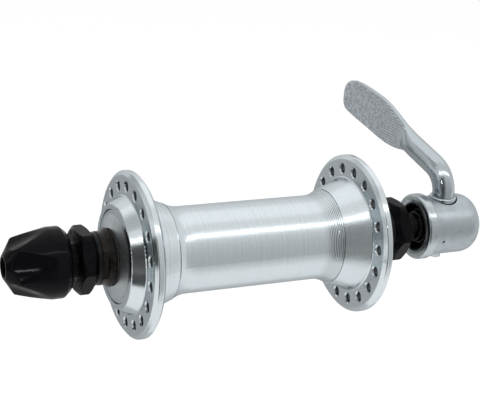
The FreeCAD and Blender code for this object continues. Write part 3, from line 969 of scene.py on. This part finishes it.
@dataclass(frozen=True)
class Section:
    """A cross-section of the forged lever.

    Its place is given by reach and height. It is upright where tilt is 0, half its height is
    half, and it is as deep as inner and outer on its two sides, squarer as the powers grow.
    """

    reach: float
    height: float
    half: float
    inner: float
    outer: float
    tilt: float = 0.0
    inner_power: float = 2.0
    outer_power: float = 2.0

    def ring(self, segments: int) -> list[Vector]:
        """The section's points.

        Args:
            segments: the number of points.

        Returns:
            The points, in the lever's own place.
        """
        points = []
        a = math.radians(self.tilt)
        for i in range(segments):
            phi = FULL_TURN * i / segments
            up, side = math.cos(phi), math.sin(phi)
            power = self.inner_power if side > 0 else self.outer_power
            deep = self.inner if side > 0 else self.outer
            rise = self.half * math.copysign(abs(up) ** (2 / power), up)
            away = deep * math.copysign(abs(side) ** (2 / power), side)
            points.append(Vector((
                self.reach - rise * math.sin(a), away, self.height + rise * math.cos(a)
            )))
        return points


def pillar(radius: float, low: float, high: float, ease: float = 0.12) -> Profile:
    """The profile of a plain pillar with eased ends."""
    return (
        (0.0, low), (radius - ease, low), (radius, low + ease),
        (radius, high - ease), (radius - ease, high), (0.0, high),
    )


@dataclass
class CamLever:
    """The forged lever: cam shaft, collar, stem, bend, round arm and paddle.

    A row of the arm is a share of its length and its depths on the inner and outer side. The
    paddle's sections start at its neck.
    """

    segments: int = 32
    stem_r: float = 3.3
    stem_foot: float = 8.4
    stem_top: float = 9.4
    bend_r: float = 8.0
    bend_steps: int = 8
    arm_rise: float = 15.7
    arm_long: float = 12.6
    arm_rows: Sequence[tuple[float, float, float]] = (
        (0.25, 3.3, 3.3), (0.5, 3.3, 3.3), (0.75, 3.3, 3.3), (0.95, 2.9, 3.2),
    )
    collar_r: float = 4.05
    collar_foot: float = 7.35
    collar_ease: float = 0.05
    collar_top: float = 9.25
    collar_round: Profile = ((0.0, 0.4), (0.1, 0.15), (0.35, 0.0))
    collar_lap: float = 0.2
    collar_steps: int = 48
    journal_r: float = 3.7
    pin_r: float = 1.7
    pin_end: float = -10.3
    pin_steps: int = 32
    cam_r: float = 2.75
    cam_high: float = 3.4
    cam_throw: float = 0.9
    cam_steps: int = 40
    paddle: Sequence[Section] = (
        Section(19.2, 20.75, 3.62, 2.15, 3.1, 12.0, 2.5),
        Section(20.3, 20.92, 3.95, 1.45, 3.0, 9.0, 2.9),
        Section(21.7, 21.20, 4.42, 1.06, 2.8, 5.0, 3.6),
        Section(23.7, 21.72, 5.06, 1.0, 2.5, 2.0, 5.0, 2.1),
        Section(25.9, 22.36, 5.68, 1.0, 2.15, 0.0, 6.5, 2.2),
        Section(28.6, 23.10, 6.22, 1.0, 1.80, 0.0, 8.0, 2.3),
        Section(31.7, 23.85, 6.50, 1.0, 1.45, 0.0, 8.0, 2.5),
        Section(35.2, 24.55, 6.45, 1.0, 1.20, 0.0, 8.0, 2.7),
        Section(39.6, 25.40, 6.25, 1.0, 1.05, 0.0, 8.0, 3.0),
        Section(43.6, 26.00, 6.05, 1.0, 1.0, 0.0, 8.0, 3.0),
        Section(47.0, 26.40, 5.65, 1.0, 1.0, 0.0, 8.0, 3.0),
        Section(49.3, 26.40, 5.05, 0.98, 0.98, 0.0, 7.0, 3.0),
        Section(50.7, 26.20, 4.30, 0.95, 0.95, 0.0, 6.0, 2.8),
        Section(51.5, 26.05, 3.40, 0.88, 0.85, 0.0, 5.0, 2.5),
        Section(52.0, 26.00, 2.40, 0.70, 0.65, 0.0, 4.0, 2.2),
        Section(52.25, 26.00, 1.30, 0.42, 0.40, 0.0, 3.0),
    )

    def arm(self) -> list[Section]:
        """The round sections of stem, bend and arm, from the foot up."""
        r = self.stem_r
        rounds = [Section(0.0, z, r, r, r, 90.0) for z in (self.stem_foot, self.stem_top)]
        for i in range(1, self.bend_steps + 1):
            a = (90.0 - self.arm_rise) * i / self.bend_steps
            swing = math.radians(a)
            reach = self.bend_r * (1 - math.cos(swing))
            height = self.stem_top + self.bend_r * math.sin(swing)
            rounds.append(Section(reach, height, r, r, r, 90.0 - a))
        last = rounds[-1]
        rise = math.radians(self.arm_rise)
        for share, inner, outer in self.arm_rows:
            long = self.arm_long * share
            reach = last.reach + long * math.cos(rise)
            height = last.height + long * math.sin(rise)
            rounds.append(Section(reach, height, r, inner, outer, self.arm_rise))
        return rounds

    def collar(self) -> Profile:
        """The collar's profile, with its upper edge rounded."""
        r, foot, top, ease = self.collar_r, self.collar_foot, self.collar_top, self.collar_ease
        edge = [(r - inward, top - down) for inward, down in self.collar_round]
        return ((0.0, foot), (r - ease, foot), (r, foot + ease), *edge, (0.0, top))

    def build(self, material: Material) -> Object:
        """Build the lever.

        Args:
            material: its finish.

        Returns:
            The piece.
        """
        made = Builder("forged_cam_lever")
        made.lofted([part.ring(self.segments) for part in (*self.arm(), *self.paddle)])
        journal = pillar(self.journal_r, self.cam_high, self.collar_foot + self.collar_lap)
        made.spun(self.collar(), self.collar_steps)
        made.spun(journal, self.collar_steps)
        made.spun(pillar(self.pin_r, self.pin_end, -self.cam_high), self.pin_steps)
        lean = math.radians(LEVER_LEAN)
        offset = Vector((-math.sin(lean), -math.cos(lean), 0.0)) * self.cam_throw
        cam = pillar(self.cam_r, -self.cam_high, self.cam_high)
        made.spun(cam, self.cam_steps, Matrix.Translation(offset))
        place = Matrix.Translation((0.0, LEVER_SHAFT_Y, 0.0))
        place = place @ Matrix.Rotation(math.radians(LEVER_TURN), 4, "Z")
        return made.finish("cam_lever", Body.LEVER, material, turn=place)


@dataclass
class AdjustingNut:
    """The moulded nut: toothed face, skirt, five soft flutes, nose and bore."""

    steps: int = 240
    spacing: float = 0.35
    face: float = -52.4
    face_r: float = 8.3
    face_ease: float = 0.25
    skirt_front: float = -54.0
    skirt_front_ease: float = 0.7
    skirt_back: float = -57.0
    skirt_back_ease: float = 2.4
    skirt_r: float = 9.65
    nose: float = -66.2
    nose_r: float = 7.75
    nose_ease: float = 0.8
    tip: float = -69.1
    tip_r: float = 3.2
    tip_ease: float = 0.5
    hole_r: float = 2.65
    hole_chamfer: float = 0.2
    bore_floor: float = -66.3
    bore_r: float = 4.2
    recess_floor: float = -58.2
    recess_r: float = 6.8
    teeth: int = 30
    tooth_deep: float = 0.25
    tooth_from_wall: float = 0.05
    flutes: int = 5
    flute_first: float = 21.0
    flute_r: float = 11.0
    flute_bite: float = 2.0
    flute_runout: float = 1.3
    flute_lowest_r: float = 4.25
    flute_rounds: int = 4
    edge_soft: float = 0.55
    touch: float = 0.01

    def profile(self) -> Profile:
        """Half of the nut's lengthwise section, from the recess round the outside to the bore."""
        return rounded((
            (self.bore_r, self.recess_floor, 0.0), (self.recess_r, self.recess_floor, 0.0),
            (self.recess_r, self.face, 0.0), (self.face_r, self.face, self.face_ease),
            (self.skirt_r, self.skirt_front, self.skirt_front_ease),
            (self.skirt_r, self.skirt_back, self.skirt_back_ease),
            (self.nose_r, self.nose, self.nose_ease), (self.tip_r, self.tip, self.tip_ease),
            (self.hole_r + self.hole_chamfer, self.tip, 0.0),
            (self.hole_r, self.tip + self.hole_chamfer, 0.0),
            (self.hole_r, self.bore_floor, 0.0), (self.bore_r, self.bore_floor, 0.0),
            (self.bore_r, self.recess_floor, 0.0),
        ), self.spacing)

    def cut_radius(self, radius: float, place: float, angle: float) -> float:
        """The flutes' own radius at a place along the axle and an angle.

        Args:
            radius: the uncut radius there.
            place: the place along the axle.
            angle: the angle round the axle, in radians.

        Returns:
            The radius that the nearest flute leaves.
        """
        pitch = FULL_TURN / self.flutes
        off = (angle - math.radians(self.flute_first) + pitch / 2) % pitch - pitch / 2
        foot = self.nose_r - self.flute_bite
        slope = (self.skirt_r - foot) / (self.skirt_back - self.flute_runout - self.nose)
        line = foot + (place - self.nose) * slope
        tilt = math.cos(math.atan(slope))
        for _ in range(self.flute_rounds):
            wide = min(abs(radius * math.sin(off)), self.flute_r)
            sag = self.flute_r - math.sqrt(self.flute_r ** 2 - wide ** 2)
            radius = (line + sag / tilt) / math.cos(off)
        return radius

    def inside(self, radius: float, place: float) -> bool:
        """Whether a point lies on the nut's inner walls."""
        wall = self.recess_r if place > self.recess_floor - self.touch else self.bore_r
        return radius < wall + self.touch

    def build(self, material: Material) -> Object:
        """Build the nut.

        Args:
            material: its finish.

        Returns:
            The piece.
        """
        made = Builder("moulded_nut")
        tooth = FULL_TURN / self.teeth
        for vert in made.spun(self.profile(), self.steps):
            x, y, z = vert.co
            radius, angle = math.hypot(x, y), math.atan2(y, x)
            if radius > self.flute_lowest_r and not self.inside(radius, z):
                new = soft_least(radius, self.cut_radius(radius, z, angle), self.edge_soft)
                vert.co.x, vert.co.y = x * new / radius, y * new / radius
            if z > self.face - self.touch and radius > self.recess_r + self.tooth_from_wall:
                from_tooth = abs((angle + tooth / 2) % tooth - tooth / 2) * radius
                vert.co.z -= max(0.0, self.tooth_deep - from_tooth)
        lay = Matrix.Rotation(math.radians(-90.0), 4, "X")
        flip = Matrix.Diagonal((1.0, -1.0, 1.0, 1.0))
        return made.finish("adjusting_nut", Body.NUT, material, turn=lay @ flip)


@dataclass
class ConicalSpring:
    """A wire coil from the axle's end, where it is narrow, to the skewer's seat."""

    node: str
    small_y: float
    large_y: float
    turns: float
    wire: float = 0.7
    small_d: float = 6.8
    large_d: float = 11.9
    rest: float = 0.05
    steps: int = 36
    sides: int = 12

    def ring(self, angle: float) -> list[Vector]:
        """The wire's outline at an angle along the coil."""
        whole = FULL_TURN * self.turns
        towards = math.copysign(1.0, self.large_y - self.small_y)
        inset = towards * (self.wire / 2 + self.rest)
        low, high = self.small_y + inset, self.large_y - inset
        radius = (self.small_d + (self.large_d - self.small_d) * angle / whole) / 2
        outward = Vector((math.cos(angle), 0.0, math.sin(angle)))
        round_axle = Vector((-math.sin(angle), 0.0, math.cos(angle)))
        grow = (self.large_d - self.small_d) / 2 / whole
        ahead = outward * grow + round_axle * radius + ALONG * ((high - low) / whole)
        side = ahead.cross(outward).normalized()
        out = side.cross(ahead).normalized()
        centre = outward * radius + ALONG * (low + (high - low) * angle / whole)
        turn = FULL_TURN / self.sides
        return [
            centre + (out * math.cos(turn * k) + side * math.sin(turn * k)) * self.wire / 2
            for k in range(self.sides)
        ]

    def build(self, material: Material) -> Object:
        """Build the coil.

        Args:
            material: its finish.

        Returns:
            The piece.
        """
        made = Builder("coil_" + self.node)
        count = round(self.turns * self.steps)
        made.lofted([self.ring(FULL_TURN * self.turns * k / count) for k in range(count + 1)])
        piece = made.finish(self.node, None, material)
        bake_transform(piece)
        return piece


def choose_finishes() -> dict[str, Finish]:
    """The finish of each node, by the start of its name."""
    return {
        "hub_shell": TurnedAluminium(),
        "dust_cap": SteelFinish("cap_steel", (0.57, 0.615, 0.635), (0.50, 0.54, 0.56), 0.34),
        "locknut": SteelFinish(
            "black_steel", (0.0015, 0.0015, 0.002), (0.003, 0.003, 0.004), 0.24,
            metallic=0.0, line_depth=0.0, sheen=0.08,
        ),
        "lock_washer": SteelFinish(
            "washer_steel", (0.003, 0.003, 0.0035), (0.007, 0.007, 0.008), 0.33, metallic=0.0
        ),
        "hollow_axle": SteelFinish(
            "axle_steel", (0.004, 0.004, 0.0045), (0.010, 0.010, 0.011), 0.33, metallic=0.0
        ),
        "bearing_cone": SteelFinish(
            "cone_steel", (0.004, 0.0035, 0.003), (0.014, 0.010, 0.008), 0.28, metallic=0.0
        ),
        "bearing_cup": SteelFinish("cup_steel", (0.50, 0.50, 0.52), (0.56, 0.56, 0.57), 0.25),
        "bearing_balls": SteelFinish("ball_steel", (0.78, 0.78, 0.80), (0.82, 0.82, 0.83), 0.08),
        "cone_seal": SealRubber(),
        "skewer_rod": SteelFinish("rod_steel", (0.58, 0.58, 0.60), (0.66, 0.66, 0.68), 0.25),
        "skewer_spring": SteelFinish(
            "spring_steel", (0.005, 0.005, 0.006), (0.012, 0.012, 0.014), 0.3, metallic=0.0
        ),
        "adjusting_nut": MouldedBlack(),
        "nut_insert": SteelFinish("insert_steel", (0.50, 0.48, 0.44), (0.56, 0.55, 0.52), 0.3),
        "cam_housing": SteelFinish(
            "housing_plate", (0.41, 0.455, 0.48), (0.37, 0.41, 0.435), 0.42,
            line_depth=0.0, grain_depth=0.012,
        ),
        # Its bore gets painted shade inside bore_r.
        "cam_face_ring": SteelFinish(
            "ring_steel", (0.46, 0.50, 0.52), (0.41, 0.45, 0.47), 0.24,
            bore_r=6.9, bore_soft=0.9,
        ),
        "cam_lever": ForgedLever(),
    }


def dress_nodes(nodes: Mapping[str, Object]) -> dict[str, Material]:
    """Give each carried-over node its finish.

    Args:
        nodes: the nodes' objects by name.

    Returns:
        The materials, by the start of the nodes' names.
    """
    finishes = choose_finishes()
    built: dict[str, Material] = {}
    for name, node in nodes.items():
        key = next(start for start in finishes if name.startswith(start))
        if key not in built:
            built[key] = finishes[key].make()
        node.data.materials.clear()
        node.data.materials.append(built[key])
        LOG.info("dressed %s with %s", name, built[key].name)
    return built


def main() -> None:
    """Load the frame, dress it, add the scene's own pieces and set the studio."""
    logging.basicConfig(level=logging.INFO, format="%(name)s: %(message)s")
    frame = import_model()
    materials = dress_nodes(frame["nodes"])
    CamLever().build(materials["cam_lever"])
    AdjustingNut().build(materials["adjusting_nut"])
    for spring in (
        ConicalSpring("skewer_spring_right", small_y=54.0, large_y=60.0, turns=3.5),
        ConicalSpring("skewer_spring_left", small_y=-54.0, large_y=-57.4, turns=3.0),
    ):
        spring.build(materials["skewer_spring"])
    Studio().make()


if __name__ == "__main__":
    main()
